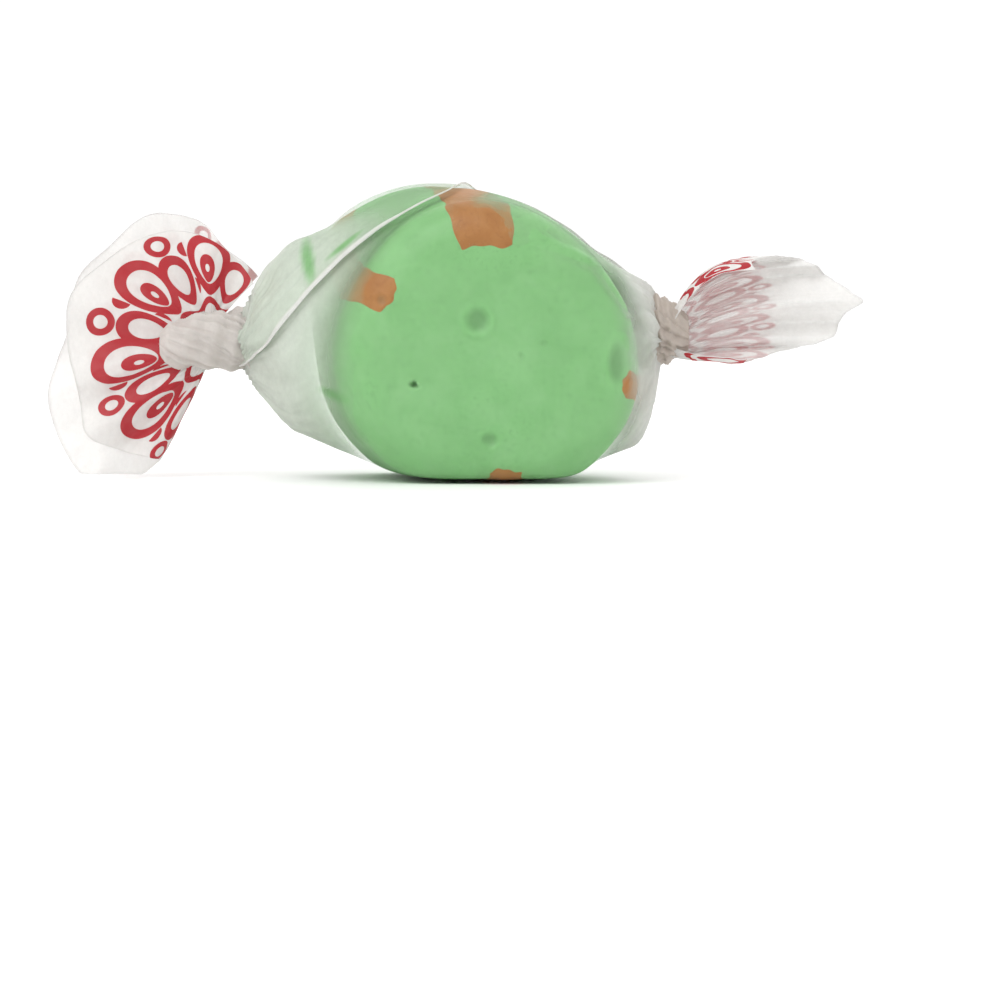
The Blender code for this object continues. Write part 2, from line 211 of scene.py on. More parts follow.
def smooth(t):
    t = np.clip(t, 0.0, 1.0)
    return t * t * (3 - 2 * t)


def through(values, place):
    """The smooth curve through evenly spaced values, read at each place from 0 to 1."""
    values = np.asarray(values, float)
    last = len(values) - 1
    position = np.clip(np.asarray(place, float), 0, 1) * last
    k = np.minimum(position.astype(int), last - 1)
    t = (position - k)[..., None] if values.ndim > 1 else position - k
    p0, p1 = values[np.maximum(k - 1, 0)], values[k]
    p2, p3 = values[k + 1], values[np.minimum(k + 2, last)]
    return 0.5 * (
        2 * p1 + (p2 - p0) * t + (2 * p0 - 5 * p1 + 4 * p2 - p3) * t**2 + (3 * p1 - p0 - 3 * p2 + p3) * t**3
    )


def waves(points, size, seed, octaves=3):
    """Smooth seeded noise of this feature size, about -1 to 1, at an array of points."""
    rng = np.random.default_rng(seed)
    total, weight = np.zeros(points.shape[:-1]), 0.0
    for octave in range(octaves):
        share = 0.5**octave
        for _ in range(4):
            way = rng.normal(size=3)
            way *= 2 * math.pi * 2**octave / (size * np.linalg.norm(way)) * rng.uniform(0.7, 1.3)
            total += share * np.sin(points @ way + rng.uniform(0, 2 * math.pi))
        weight += 2 * share
    return total / weight


# The candy


def candy_radius(angle, place=0.0):
    turn = (angle / (2 * math.pi)) % 1.0
    back = float(smooth((place - 0.33) / 0.34))
    radii = [front + (rear - front) * back for front, rear in zip(FACE_RADII, BACK_RADII)]
    ring = radii[-2:] + radii + radii[:3]
    return float(through(ring, (turn * 12 + 2) / (len(ring) - 1)))


def rim_profile(place, radius, half_depth, rim):
    flat, arc, side = radius - rim, rim * math.pi / 2, 2 * (half_depth - rim)
    run = min(place, 1 - place) * (2 * flat + 2 * arc + side)
    back = 1.0 if place > 0.5 else -1.0
    if run < flat:
        return run, back * (half_depth - FACE_DOME * (run / radius) ** 2)
    if run < flat + arc:
        turn = (run - flat) / rim
        r = flat + rim * math.sin(turn)
        dome = FACE_DOME * (min(r, radius) / radius) ** 2
        return r, back * (half_depth - rim + rim * math.cos(turn) - dome * math.cos(turn))
    depth = half_depth - rim - (run - flat - arc)
    return radius + SIDE_BULGE * (1 - (depth / (half_depth - rim)) ** 2), back * depth


def press_flat(z, foot):
    rise = (z - foot + FOOT_BLEND) / (2 * FOOT_BLEND)
    if rise <= 0:
        return foot
    return z if rise >= 1 else foot + FOOT_BLEND * rise**2


def candy_point(angle, place, inset=0.0):
    """A point of the candy's surface, or of the surface that lies inset deep in it."""
    radius, y = rim_profile(
        place, candy_radius(angle, place) - inset, CANDY_DEPTH / 2 - inset, max(RIM_RADIUS - inset, 0.4 * MM)
    )
    back = (y + CANDY_DEPTH / 2) / CANDY_DEPTH
    x = CANDY_CENTRE_X + radius * math.cos(angle) + BACK_SHIFT * back
    z = (CANDY_CENTRE_Z + radius * math.sin(angle)) * (1 + BACK_RISE * back)
    return Vector((x, y, press_flat(z, FOOT_Z + inset)))


def candy_body(bm, inset=0.0, around=AROUND, along=ALONG):
    bmesh.ops.create_uvsphere(bm, u_segments=around, v_segments=along, radius=1.0)
    for vertex in bm.verts:
        x, z, y = vertex.co
        place = math.acos(max(-1.0, min(1.0, -y))) / math.pi
        vertex.co = candy_point(math.atan2(z, x), place, inset)


def marked(points, face=-1.0):
    """How deep each point of a cut face lies under the smooth candy, for its pits, dimples and ridges."""
    x, z = points[:, 0] / MM, points[:, 2] / MM
    on_face = smooth((points[:, 1] * face / MM - 7.5) / 2.0)
    depth = np.zeros(len(points))
    for mx, mz, wide, high, deep, rim in MARKS:
        r = np.hypot((x - mx * -face) / wide, (z - mz) / high)
        depth += deep * (1 - smooth((r - 0.35) / 0.75)) - rim * np.exp(-(((r - 1.2) / 0.28) ** 2))
    for x0, z0, x1, z1, wide, high in RIDGES:
        dx, dz = x1 - x0, z1 - z0
        t = np.clip(((x - x0) * dx + (z - z0) * dz) / (dx * dx + dz * dz), 0, 1)
        off = np.hypot(x - x0 - t * dx, z - z0 - t * dz)
        depth -= high * np.exp(-((off / wide) ** 2)) * np.sin(math.pi * np.clip(t, 0.04, 0.96)) ** 0.5
    return depth * on_face * MM


def lumpy(obj, amount, seed):
    """Moves the surface in by its marks, and in or out by a slow unevenness."""
    mesh = obj.data
    count = len(mesh.vertices)
    points, normals = np.empty(count * 3), np.empty(count * 3)
    mesh.vertices.foreach_get("co", points)
    mesh.vertices.foreach_get("normal", normals)
    points, normals = points.reshape(-1, 3), normals.reshape(-1, 3)
    move = amount * waves(points, 9 * MM, seed) + 0.25 * amount * waves(points, 2.2 * MM, seed + 1)
    move -= marked(points) + 0.7 * marked(points, 1.0)
    # How deep each point lies in a mark, which the taffy's material uses to darken the pits as painted
    # shade.
    painted_pit_shade_layer = mesh.attributes.new("painted_pit_shade", "FLOAT", "POINT")
    painted_pit_shade_layer.data.foreach_set("value", np.clip((marked(points) + marked(points, 1.0)) / (0.35 * MM), -0.3, 1))
    foot = smooth((points[:, 2] - FOOT_Z) / (1.5 * MM))
    points += normals * (move * foot)[:, None]
    mesh.vertices.foreach_set("co", points.ravel())
    mesh.update()


def strap_angle(degrees, sweep, across, along, place):
    """Angle of a point of a strap this far across and along it, so that its width hardly narrows inwards."""
    middle = math.radians(degrees + sweep * float(smooth((along + 0.3) / 0.6)))
    full = candy_radius(middle, place)
    here = max(rim_profile(place, full, CANDY_DEPTH / 2, RIM_RADIUS)[0], 0.5 * full)
    return middle + across / full * (full / here) ** 0.8


def stripe_body(degrees, sweep, width, reach, steps=(26, 190)):
    """Builder for one strap of taffy, standing a hair proud in its middle and diving at its edges."""
    profile = 2 * USUAL_RADIUS + CANDY_DEPTH
    across, along = steps
    wide, reach = width * MM, reach * MM

    def build(bm):
        bmesh.ops.create_grid(bm, x_segments=across, y_segments=along, size=0.5)
        walls = bmesh.ops.extrude_face_region(bm, geom=bm.faces[:])
        for vertex in (v for v in walls["geom"] if isinstance(v, bmesh.types.BMVert)):
            vertex.co.z = -1.0
        start = (USUAL_RADIUS - reach - 0.4 * RIM_RADIUS) / profile
        for vertex in bm.verts:
            a, b, c = vertex.co
            place = start + (b + 0.5) * (1 - 2 * start)
            ragged = 0.05 * math.sin(23 * b + degrees) + 0.04 * math.sin(57 * b + 2 * degrees)
            ends = 0.004 * math.sin(7 * a + degrees) + 0.002 * math.sin(19 * a)
            place += ends * (2 * b) ** 5
            place -= math.copysign(0.013 * abs(2 * a) ** 3 * abs(2 * b) ** 6, b)
            half = wide / 2 * (1.12 + 0.08 * math.sin(7 * b + degrees) + ragged)
            edge = max(abs(2 * a), 1 - (0.5 - abs(b)) * 2 * 9)
            proud = 0.07 * MM * (1 - edge**2) - 0.16 * MM * max(0.0, edge - 0.86) / 0.14
            inset = STRIPE_DEPTH if c < -0.5 else -proud
            vertex.co = candy_point(strap_angle(degrees, sweep, 2 * a * half, b, place), place, inset)

    return build


# The sheet of paper


def turned(angle_from_front, radius, x, z=AXIS_Z, y=0.0):
    """The points at this radius from the twist axis, each angle taken upwards from the front."""
    return np.stack(
        [x + 0 * radius, y - radius * np.cos(angle_from_front), z + radius * np.sin(angle_from_front)],
        axis=-1,
    )


def candy_reach(tree, x, angle):
    far, out = 40 * MM, Vector((0, -math.cos(angle), math.sin(angle)))
    hit = tree.ray_cast(Vector((x, 0, AXIS_Z)) + out * far, -out, far)
    return far - hit[3] if hit[0] else 0.0


def taut_line(xs, rs):
    """The line that a thread stretched over these points would take."""
    kept = []
    for point in zip(xs, rs):
        while len(kept) > 1:
            (x0, r0), (x1, r1) = kept[-2], kept[-1]
            if (r1 - r0) * (point[0] - x0) > (point[1] - r0) * (x1 - x0):
                break
            kept.pop()
        kept.append(point)
    return np.interp(xs, *zip(*kept))


def slack(above_axis, below_axis, angle):
    low = (1 - math.sin(angle)) / 2
    return above_axis + (below_axis - above_axis) * low**2


def grid_normals(rows):
    """Unit normals of a sheet's points, out of the side that is outside where it wraps the candy."""
    across, along = np.gradient(rows, axis=1), np.gradient(rows, axis=0)
    normal = np.cross(along, across)
    normal *= 1.0 if rows[-1, :, 0].mean() > rows[0, :, 0].mean() else -1.0
    return normal / np.maximum(np.linalg.norm(normal, axis=-1, keepdims=True), 1e-12)


def ridged(place, seed, count, sharp=2.2):
    """Uneven fold lines across place, 0 to 1: values 0 in the valleys and 1 on the creases."""
    rng = np.random.default_rng(seed)
    warp = place + 0.35 / count * np.sin(2 * math.pi * (3 * place + rng.uniform()))
    warp = warp + 0.2 / count * np.sin(2 * math.pi * (7 * place + rng.uniform()))
    fold = np.abs(np.sin(math.pi * count * warp + rng.uniform(0, math.pi)))
    height = 0.55 + 0.45 * np.sin(2 * math.pi * (5 * place + rng.uniform()))
    return (1 - fold**0.6) ** (1 / sharp) * height


def paper_reach(tree, xs):
    """How far the taut sheet reaches from the twist axis, for each station and direction."""
    table = np.empty((len(xs), TABLE_STEPS))
    for column, angle in enumerate(np.arange(TABLE_STEPS) * 2 * math.pi / TABLE_STEPS):
        bare = np.array([candy_reach(tree, x, angle) for x in xs])
        touch = bare.copy()
        bare[0], bare[-1] = 0.75 * LEFT.radius, 0.75 * RIGHT.radius
        for x, above_axis, below_axis in (*LEFT.shoulders, *RIGHT.shoulders):
            nearest = np.argmin(abs(xs - x))
            bare[nearest] = max(bare[nearest], slack(above_axis, below_axis, angle))
        line = taut_line(xs, bare)
        for _ in range(4):
            line[1:-1] = (line[:-2] + 2 * line[1:-1] + line[2:]) / 4
        table[:, column] = np.maximum(line, touch)
    return table


def edge_angles(xs, table):
    """The direction of the sheet's free edge at each station, in degrees above the front."""
    angles = np.arange(TABLE_STEPS) * 360.0 / TABLE_STEPS
    levels = np.interp(xs / MM, *zip(*EDGE))
    found = []
    for row, level in zip(table, levels):
        height = AXIS_Z / MM + row / MM * np.sin(np.radians(angles))
        top = int(np.argmax(height[: TABLE_STEPS // 2]))
        over = np.nonzero(height[:top] > level)[0]
        found.append(angles[over[0]] if len(over) else angles[top] + BEHIND)
        if level < height[0]:
            found[-1] = math.degrees(math.asin(max(-0.9, (level - AXIS_Z / MM) * MM / row[0])))
    found = np.array(found)
    for _ in range(8):
        found[1:-1] = (found[:-2] + 2 * found[1:-1] + found[2:]) / 4
    return found


def belly_rows(tree):
    """The paper round the candy as rows of points, and the creases, hem and layers at each of them."""
    v = np.linspace(0, 1, COLUMNS + 1)
    turn = 360.0 + OVERLAP
    xs = np.linspace(LEFT.sheet_end, RIGHT.sheet_end, BELLY_STEPS + 1)
    table = paper_reach(tree, xs)
    degrees = edge_angles(xs, table)[:, None] + turn * v
    grid = np.arange(TABLE_STEPS + 1) * 360.0 / TABLE_STEPS
    radii = np.stack([np.interp(d % 360.0, grid, np.append(r, r[0])) for d, r in zip(degrees, table)])
    rows = turned(np.radians(degrees), radii, xs[:, None])
    normals = grid_normals(rows)
    near = np.stack([abs(xs - LEFT.neck_from), abs(xs - RIGHT.neck_from)]) / MM
    thin = np.clip(1 - radii / (12 * MM), 0, 1)
    creases = np.zeros_like(radii)
    for side, seed, reach in ((0, 5, 9.0), (1, 11, 4.5)):
        fade = np.clip(1 - near[side] / reach, 0, 1)[:, None]
        swirl = degrees % 360 / 360 + 0.02 * near[side][:, None] * (1 if side else -1)
        creases += ridged(swirl, seed, 17) * fade**1.2 * thin**0.7
        creases += 0.6 * ridged(swirl, seed + 1, 31) * fade**2.2 * thin**0.5
    buckle = waves(rows, 5.5 * MM, 21)
    loose = smooth((thin - 0.12) / 0.35)
    over = smooth((OVERLAP + OVERLAP_RAMP - turn * v) / OVERLAP_RAMP) + 0 * radii
    under = smooth((turn * v - 360.0) / 8.0) + 0 * radii
    hem = np.exp(-((v * SHEET_WIDTH / MM / HEM) ** 6)) + 0 * radii
    lift = creases * 0.62 * MM + (0.5 + 0.5 * buckle) * loose * 0.35 * MM + over * LAYER + hem * 0.25 * MM
    rows = rows + normals * lift[..., None]
    rows[..., 2] = np.maximum(rows[..., 2], PAPER)
    return rows, creases, hem, np.maximum(over * (turn * v < OVERLAP + 6), under * 0.8)


def tail_rows(end, seed):
    """Rows of points of the fanned paper, from the ring in its neck out to the free edge."""
    v = np.linspace(0, 1, COLUMNS + 1)
    ring = turned(end.turn[0] + (end.turn[1] - end.turn[0]) * v, end.root_r + 0 * v, end.root_x)
    rib = through(end.ribs, v)
    angle, length, depth = rib[:, 0], rib[:, 1], rib[:, 2]
    x = end.fan_x + length * np.cos(angle)
    z = np.maximum(end.fan_z + length * np.sin(angle), 0.2 * MM)
    tip = np.stack([x, depth, z], axis=-1)
    u = np.linspace(0, 1, TAIL_STEPS + 1)[:, None, None]
    quick = 1 - (1 - u) ** end.spread
    rows = ring + (tip - ring) * np.concatenate([u, quick, quick], axis=-1)
    normals = grid_normals(rows)
    out = u[..., 0]
    fold = ridged(v[None, :] + 0.004 * np.sin(5 * out), seed + 1, 41) - 0.4
    fine = ridged(v[None, :] + 0.006 * np.sin(9 * out), seed + 2, 83) - 0.4
    crumple = waves(rows, 4.0 * MM, seed + 3)
    shape = np.clip(out * 4, 0, 1)
    lift = fold * 0.22 * (1 - out) ** 1.5 + fine * 0.12 * (1 - out) ** 2.5 + crumple * 0.13 * out
    rows = rows + normals * (lift * shape * MM)[..., None]
    rows[..., 2] = np.maximum(rows[..., 2], PAPER)
    return rows, fold


def neck_rows(end, seed, sides=120, steps=70):
    """Rings of the rope of gathered paper, creased along its twist."""
    place = np.linspace(0, 1, steps + 1)
    line = through(end.neck, place)
    around = np.linspace(0, 2 * math.pi, sides, endpoint=False)
    turn = (end.twist * place)[:, None]
    share = (around[None, :] / (2 * math.pi) - turn / (2 * math.pi)) % 1.0
    folds = ridged(share, seed, 7) * 0.32 + ridged(share, seed + 1, 17) * 0.2 - 0.19
    ends = (place * (1 - place) * 4)[:, None] ** 0.5
    folds = folds + 0.05 * np.sin(2 * math.pi * (6 * place[:, None] + 1.5 * share)) * ends
    radius = line[:, 3:4] * (1 + folds)
    rows = turned(around[None, :], radius, line[:, 0:1], line[:, 2:3], line[:, 1:2])
    return rows


def mesh_of(name, points, faces):
    mesh = bpy.data.meshes.new(name)
    mesh.from_pydata(points.reshape(-1, 3).tolist(), [], faces)
    mesh.update()
    mesh.shade_smooth()
    obj = bpy.data.objects.new(name, mesh)
    bpy.context.scene.collection.objects.link(obj)
    return obj


def sheet_object(name, rows, opacity, flat, painted_green):
    """A thin solid of the sheet, its outer wall in slot 0 and its inner wall in slot 1.

    opacity is that of the whole sheet, and painted_green how much of the candy's green, seen through the
    paper, is painted into its colour. flat holds each point's place on the unrolled sheet, in millimetres:
    how far round it, and how far from the twist towards the free edge.
    """
    high, wide = rows.shape[:2]
    base = np.arange(high * wide).reshape(high, wide)
    quads = np.stack([base[:-1, :-1], base[:-1, 1:], base[1:, 1:], base[1:, :-1]], axis=-1).reshape(-1, 4)
    normals = grid_normals(rows) * PAPER / 2
    count = high * wide
    points = np.concatenate([(rows + normals).reshape(-1, 3), (rows - normals).reshape(-1, 3)])
    border = np.concatenate([base[0, :], base[1:, -1], base[-1, -2::-1], base[-2:0:-1, 0]])
    after = np.roll(border, -1)
    rim = np.stack([border, border + count, after + count, after], axis=-1)
    if rows[-1, :, 0].mean() < rows[0, :, 0].mean():
        quads, rim = quads[:, ::-1], rim[:, ::-1]
    faces = np.concatenate([quads[:, ::-1], quads + count, rim]).tolist()
    obj = mesh_of(name, points, faces)
    mesh = obj.data
    slots = np.zeros(len(faces), int)
    slots[len(quads):] = 1
    mesh.polygons.foreach_set("material_index", slots)
    wall = 1 - np.sqrt(1 - np.clip(opacity, 0, 0.995))
    attribute = mesh.attributes.new("opacity", "FLOAT", "POINT")
    attribute.data.foreach_set("value", np.tile(wall.ravel(), 2))
    # Painted light: how much of the candy's green, seen through the paper, is painted into both walls.
    attribute = mesh.attributes.new("painted_green", "FLOAT", "POINT")
    attribute.data.foreach_set("value", np.tile(painted_green.ravel(), 2))
    layer = mesh.uv_layers.new(name="sheet")
    loops = np.empty(len(mesh.loops), int)
    mesh.loops.foreach_get("vertex_index", loops)
    layer.data.foreach_set("uv", (flat.reshape(-1, 2)[loops % count] * 0.1).ravel())
    return obj


def rope_object(name, rows, opacity):
    """A closed rope through rings of points, with a flat cap at each end."""
    high, wide = rows.shape[:2]
    base = np.arange(high * wide).reshape(high, wide)
    ahead = np.roll(base, -1, axis=1)
    quads = np.stack([base[:-1], ahead[:-1], ahead[1:], base[1:]], axis=-1).reshape(-1, 4)
    faces = quads.tolist() + [base[0][::-1].tolist(), base[-1].tolist()]
    obj = mesh_of(name, rows, faces)
    bm = bmesh.new()
    bm.from_mesh(obj.data)
    bmesh.ops.recalc_face_normals(bm, faces=bm.faces)
    bm.to_mesh(obj.data)
    bm.free()
    attribute = obj.data.attributes.new("opacity", "FLOAT", "POINT")
    attribute.data.foreach_set("value", np.full(high * wide, opacity))
    layer = obj.data.uv_layers.new(name="sheet")
    layer.data.foreach_set("uv", np.full(len(obj.data.loops) * 2, -10.0))
    return obj


def softened(values, steps):
    """These values averaged with their neighbours, from row to row and a little round the sheet."""
    values = values.copy()
    for _ in range(steps):
        values[1:-1] = (values[:-2] + 2 * values[1:-1] + values[2:]) / 4
    for _ in range(steps // 2):
        values[:, 1:-1] = (values[:, :-2] + 2 * values[:, 1:-1] + values[:, 2:]) / 4
    return values


def gaps(rows, tree):
    """How far each point of the sheet stands off the candy, in millimetres."""
    flat = rows.reshape(-1, 3)
    found = [tree.find_nearest(Vector(point))[3] for point in flat]
    return np.array(found).reshape(rows.shape[:2]) / MM


def veiled(rows):
    """How much opacity the veils add at each point of the sheet."""
    x, z = rows[..., 0] / MM, rows[..., 2] / MM
    front = smooth((-4 * MM - rows[..., 1]) / (3 * MM))
    total = np.zeros_like(x)
    for x0, z0, x1, z1, wide, share in VEILS:
        dx, dz = x1 - x0, z1 - z0
        t = np.clip(((x - x0) * dx + (z - z0) * dz) / (dx * dx + dz * dz), 0, 1)
        off = np.hypot(x - x0 - t * dx, z - z0 - t * dz)
        total = np.maximum(total, share * np.exp(-((off / wide) ** 2)))
    return total * front


def painted_green_patch(rows):
    """1 in the middle of a patch of painted candy green, falling to 0 round it, on the front half only."""
    x, z = rows[..., 0] / MM, rows[..., 2] / MM
    front = smooth((2 * MM - rows[..., 1]) / (3 * MM))
    most = np.zeros_like(x)
    for cx, cz, wide, high, tilt in PAINTED_GREEN_PATCHES:
        c, s = math.cos(math.radians(tilt)), math.sin(math.radians(tilt))
        a, b = (x - cx) * c + (z - cz) * s, (z - cz) * c - (x - cx) * s
        most = np.maximum(most, np.exp(-((a / wide) ** 2 + (b / high) ** 2) ** 1.5))
    return most * front


# Materials


class Nodes:
    """A material's node tree, with short calls to add to it."""

    def __init__(self, name):
        self.material = bpy.data.materials.new(name)
        self.material.use_nodes = True
        self.tree = self.material.node_tree
        self.tree.nodes.clear()
        self.out = self.add("ShaderNodeOutputMaterial")

    def add(self, kind, inputs=None, **settings):
        node = self.tree.nodes.new(kind)
        for key, value in settings.items():
            setattr(node, key, value)
        for key, value in (inputs or {}).items():
            if isinstance(value, bpy.types.NodeSocket):
                self.tree.links.new(value, node.inputs[key])
            else:
                node.inputs[key].default_value = value
        return node

    def math(self, operation, a, b=0.0, c=0.0):
        return self.add("ShaderNodeMath", {0: a, 1: b, 2: c}, operation=operation).outputs[0]

    def noise(self, scale, detail=3.0, roughness=0.55, where=None, distortion=0.0):
        where = where or self.add("ShaderNodeTexCoord").outputs["Object"]
        inputs = {"Vector": where, "Scale": scale, "Detail": detail, "Roughness": roughness}
        inputs["Distortion"] = distortion
        return self.add("ShaderNodeTexNoise", inputs).outputs["Fac"]

    def ramp(self, value, stops):
        node = self.add("ShaderNodeValToRGB", {"Fac": value})
        elements = node.color_ramp.elements
        while len(elements) < len(stops):
            elements.new(0.5)
        for element, (place, colour) in zip(elements, stops):
            element.position = place
            element.color = (*colour, 1.0)
        return node.outputs["Color"]

    def blend(self, share, one, two, mode="MIX"):
        node = self.add("ShaderNodeMix", data_type="RGBA", blend_type=mode)
        for socket, value in ((0, share), (6, one), (7, two)):
            if isinstance(value, bpy.types.NodeSocket):
                self.tree.links.new(value, node.inputs[socket])
            else:
                node.inputs[socket].default_value = value if socket == 0 else (*value, 1.0)
        return node.outputs[2]

    def bump(self, height, strength, distance):
        return self.add(
            "ShaderNodeBump", {"Height": height, "Strength": strength, "Distance": distance}
        ).outputs["Normal"]

    def finish(self, shader):
        self.tree.links.new(shader, self.out.inputs["Surface"])
        return self.material


def stretched(nodes, scale):
    """Object coordinates scaled by this much along each axis."""
    where = nodes.add("ShaderNodeTexCoord").outputs["Object"]
    return nodes.add("ShaderNodeMapping", {"Vector": where, "Scale": scale}).outputs["Vector"]


def taffy_material(name, deep, base, pale):
    """Pulled taffy: soft streaks, a fine pitted grain and a faint waxy shine."""
    nodes = Nodes(name)
    streaks = nodes.noise(320, 4.0, 0.6, stretched(nodes, (1.0, 0.35, 1.0)), 0.6)
    clouds = nodes.noise(150, 2.0, 0.5)
    grain = nodes.noise(2600, 3.0, 0.7)
    colour = nodes.ramp(nodes.math("MULTIPLY_ADD", streaks, 0.6, nodes.math("MULTIPLY", clouds, 0.4)),
                        [(0.3, deep), (0.5, base), (0.72, pale)])
    greys = [(at, (level, level, level)) for at, level in ((0.28, 0.86), (0.45, 1.0), (0.75, 1.04))]
    specks = nodes.ramp(grain, greys)
    colour = nodes.blend(1.0, colour, specks, "MULTIPLY")
    # Painted shade: the marks' pits darken towards a dark copy of the deep colour.
    painted_pit_shade = nodes.add("ShaderNodeAttribute", attribute_name="painted_pit_shade").outputs["Fac"]
    colour = nodes.blend(nodes.math("MULTIPLY", painted_pit_shade, 0.5), colour, tuple(c * 0.45 for c in deep))
    height = nodes.math("MULTIPLY_ADD", grain, 0.5, streaks)
    shader = nodes.add(
        "ShaderNodeBsdfPrincipled",
        {
            "Base Color": colour,
            "Roughness": nodes.math("MULTIPLY_ADD", clouds, 0.2, 0.38),
            "Subsurface Weight": 0.25,
            "Subsurface Radius": (1.0, 1.0, 0.7),
            "Subsurface Scale": 0.0006,
            "Specular IOR Level": 0.4,
            "Normal": nodes.bump(height, 0.25, 0.0001),
        },
    )
    return nodes.finish(shader.outputs[0])


def print_mask(nodes):
    """1 where the red print is: rings and dots over a wavy line, repeated round each end of the sheet."""
    uv = nodes.add("ShaderNodeUVMap", uv_map="sheet").outputs["UV"]
    split = nodes.add("ShaderNodeSeparateXYZ", {"Vector": uv}).outputs
    along = nodes.math("MULTIPLY", split[0], 10.0)
    out = nodes.math("MULTIPLY", split[1], 10.0)
    cell = nodes.math("SUBTRACT", nodes.math("FLOORED_MODULO", along, PRINT_PERIOD), PRINT_PERIOD / 2)

    def ring(cx, cy, rx, ry, half):
        a = nodes.math("DIVIDE", nodes.math("SUBTRACT", cell, cx), rx)
        b = nodes.math("DIVIDE", nodes.math("SUBTRACT", out, cy), ry)
        r = nodes.math("SQRT", nodes.math("ADD", nodes.math("MULTIPLY", a, a), nodes.math("MULTIPLY", b, b)))
        off = nodes.math("MULTIPLY", nodes.math("ABSOLUTE", nodes.math("SUBTRACT", r, 1.0)), min(rx, ry))
        return nodes.math("LESS_THAN", off, half)

    swing = nodes.math("SINE", nodes.math("MULTIPLY", along, 2 * math.pi / PRINT_PERIOD))

    def wave(level, sway, half):
        line = nodes.math("MULTIPLY_ADD", swing, sway, level)
        return nodes.math("LESS_THAN", nodes.math("ABSOLUTE", nodes.math("SUBTRACT", out, line)), half)

    shapes = [
        ring(-2.0, 5.9, 2.5, 3.1, 0.5),
        ring(-2.2, 5.2, 0.75, 1.05, 0.42),
        ring(2.4, 4.6, 1.9, 2.3, 0.48),
        ring(2.4, 8.9, 1.0, 1.0, 0.34),
        ring(-5.2, 3.4, 0.45, 0.45, 0.45),
        ring(5.0, 7.6, 0.45, 0.45, 0.45),
        wave(1.2, 0.5, 0.36),
    ]
    mask = shapes[0]
    for shape in shapes[1:]:
        mask = nodes.math("MAXIMUM", mask, shape)
    return mask


def paper_material(name, printed, tint):
    """Wax paper: white fibres in clear wax, lit from both sides, see-through by its opacity."""
    nodes = Nodes(name)
    fibres = nodes.noise(900, 5.0, 0.65, stretched(nodes, (1.0, 0.5, 0.7)))
    clouds = nodes.noise(210, 3.0, 0.5)
    colour = nodes.ramp(clouds, [(0.3, tuple(c * 0.965 for c in tint)), (0.7, tint)])
    # Painted light: the candy's green seen through the paper, mixed into the paper's own colour.
    painted_green = nodes.add("ShaderNodeAttribute", attribute_name="painted_green").outputs["Fac"]
    colour = nodes.blend(painted_green, colour, CANDY_GREEN_PAINTED)
    opacity = nodes.add("ShaderNodeAttribute", attribute_name="opacity").outputs["Fac"]
    mottle = nodes.math("MULTIPLY_ADD", fibres, 0.5, 0.75)
    opacity = nodes.math("MULTIPLY", opacity, mottle)
    if printed:
        mask = print_mask(nodes)
        colour = nodes.blend(mask, colour, PRINT_RED)
        opacity = nodes.math("MAXIMUM", opacity, nodes.math("MULTIPLY", mask, 0.93))
    opacity = nodes.math("MINIMUM", opacity, 1.0)
    shade = nodes.bump(nodes.math("ADD", fibres, clouds), 0.3, 0.00008)
    face = nodes.add(
        "ShaderNodeBsdfPrincipled",
        {"Base Color": colour, "Roughness": 0.42, "Specular IOR Level": 0.35, "Normal": shade},
    )
    glow = nodes.add("ShaderNodeBsdfTranslucent", {"Color": colour, "Normal": shade})
    paper = nodes.add("ShaderNodeMixShader", {0: 0.35, 1: face.outputs[0], 2: glow.outputs[0]})
    clear = nodes.add("ShaderNodeBsdfTransparent")
    seen = nodes.add("ShaderNodeMixShader", {0: opacity, 1: clear.outputs[0], 2: paper.outputs[0]})
    return nodes.finish(seen.outputs[0])


def plain_material(name, colour, roughness):
    nodes = Nodes(name)
    shader = nodes.add("ShaderNodeBsdfPrincipled", {"Base Color": (*colour, 1.0), "Roughness": roughness})
    return nodes.finish(shader.outputs[0])


def built(name, build, material):
    mesh = bpy.data.meshes.new(name)
    bm = bmesh.new()
    build(bm)
    bmesh.ops.recalc_face_normals(bm, faces=bm.faces)
    if bm.calc_volume(signed=True) < 0:
        bmesh.ops.reverse_faces(bm, faces=bm.faces)
    bm.to_mesh(mesh)
    bm.free()
    mesh.shade_smooth()
    mesh.materials.append(material)
    obj = bpy.data.objects.new(name, mesh)
    bpy.context.scene.collection.objects.link(obj)
    return obj


def place(obj, slot, *nodes):
    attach(obj, "root")
    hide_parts(*nodes)
    return obj


def tree_of(inset):
    bm = bmesh.new()
    candy_body(bm, inset, 120, 90)
    tree = BVHTree.FromBMesh(bm)
    bm.free()
    return tree


def make_candy():
    green = taffy_material("green_taffy", *GREENS)
    brown = taffy_material("brown_taffy", *BROWNS)
    core = built("taffy_core", candy_body, green)
    lumpy(core, UNEVEN, UNEVEN_SEED)
    place(core, "green_taffy", "green_taffy")
    for number, strap in enumerate(STRIPES, 1):
        stripe = built(f"taffy_stripe_{number}", stripe_body(*strap), brown)
        lumpy(stripe, UNEVEN, UNEVEN_SEED)
        place(stripe, "brown_taffy", f"brown_stripe_{number}")


